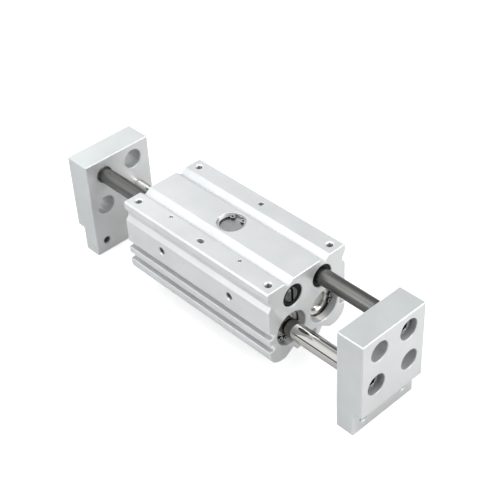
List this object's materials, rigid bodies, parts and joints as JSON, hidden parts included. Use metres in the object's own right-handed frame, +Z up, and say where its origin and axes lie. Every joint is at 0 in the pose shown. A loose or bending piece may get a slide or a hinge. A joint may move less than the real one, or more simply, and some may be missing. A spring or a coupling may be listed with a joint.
{
  "type": "pneumatic parallel gripper",
  "caption": "Wide-opening pneumatic parallel gripper: an aluminium block with twin pistons, racks and a pinion that slides two finger plates together or apart.",
  "frame": {"origin": "middle of the footprint, on the plane that the two finger plates stand on", "axes": "+X along the strokes towards the right finger, +Y across the housing away from the air ports, +Z up towards the mounting face"},
  "size_m": [0.2226, 0.0546, 0.0632],
  "materials": {
    "housing_aluminium": "satin clear anodised extrusion",
    "finger_aluminium": "satin clear anodised plate",
    "rack_steel": "dark ground and hardened steel",
    "rod_chrome": "hard chrome plated, polished",
    "cylinder_cover": "turned, warm pale grey",
    "circlip_steel": "phosphated spring steel",
    "cover_steel": "zinc plated steel",
    "gear_steel": "cut and hardened steel",
    "washer_steel": "ground steel",
    "bearing_steel": "polished steel",
    "bush_metal": "dark dry bearing metal",
    "piston_aluminium": "turned",
    "seal_rubber": "matt nitrile rubber",
    "magnet": "magnetic rubber ring",
    "wear_resin": "plain bearing resin",
    "screw_steel": "zinc plated steel"
  },
  "bodies": {
    "housing": {"housing": "housing_aluminium", "ball_plugs": "bearing_steel", "upper_pinion_washer": "washer_steel", "lower_pinion_washer": "washer_steel", "pinion_axle": "bearing_steel", "pinion_cover": "cover_steel", "pinion_circlip": "circlip_steel", "right_rack_near_bush": "bush_metal", "right_rack_far_bush": "bush_metal", "right_rod_cover": "cylinder_cover", "right_rod_seal": "seal_rubber", "right_rod_cover_o_ring": "seal_rubber", "right_rod_side_bumper": "seal_rubber", "right_rod_cover_circlip": "circlip_steel", "right_head_cover": "cylinder_cover", "right_head_cover_o_ring": "seal_rubber", "right_head_side_bumper": "seal_rubber", "right_head_cover_circlip": "circlip_steel", "left_rack_near_bush": "bush_metal", "left_rack_far_bush": "bush_metal", "left_rod_cover": "cylinder_cover", "left_rod_seal": "seal_rubber", "left_rod_cover_o_ring": "seal_rubber", "left_rod_side_bumper": "seal_rubber", "left_rod_cover_circlip": "circlip_steel", "left_head_cover": "cylinder_cover", "left_head_cover_o_ring": "seal_rubber", "left_head_side_bumper": "seal_rubber", "left_head_cover_circlip": "circlip_steel"},
    "right_finger": {"right_finger": "finger_aluminium", "right_rack": "rack_steel", "right_piston_rod": "rod_chrome", "right_piston": "piston_aluminium", "right_piston_nut": "screw_steel", "right_piston_seal": "seal_rubber", "right_magnet": "magnet", "right_wear_ring": "wear_resin", "right_rack_screw": "screw_steel", "right_rod_screw": "screw_steel"},
    "left_finger": {"left_finger": "finger_aluminium", "left_rack": "rack_steel", "left_piston_rod": "rod_chrome", "left_piston": "piston_aluminium", "left_piston_nut": "screw_steel", "left_piston_seal": "seal_rubber", "left_magnet": "magnet", "left_wear_ring": "wear_resin", "left_rack_screw": "screw_steel", "left_rod_screw": "screw_steel"},
    "pinion": {"pinion": "gear_steel"}
  },
  "joints": [
    {"name": "right_finger_slide", "type": "slide", "parent": "housing", "child": "right_finger", "axis": [-1, 0, 0], "range_m": [0, 0.04]},
    {"name": "left_finger_slide", "type": "slide", "parent": "housing", "child": "left_finger", "axis": [1, 0, 0], "range_m": [0, 0.04]},
    {"name": "pinion_spin", "type": "hinge", "parent": "housing", "child": "pinion", "pos_m": [0, 0, 0.0526], "axis": [0, 0, 1], "range_deg": [0, 340]}
  ],
  "couplings": [
    {"joint": "left_finger_slide", "follows": "right_finger_slide", "ratio": 1},
    {"joint": "pinion_spin", "follows": "right_finger_slide", "rad_per_m": 148.15}
  ]
}
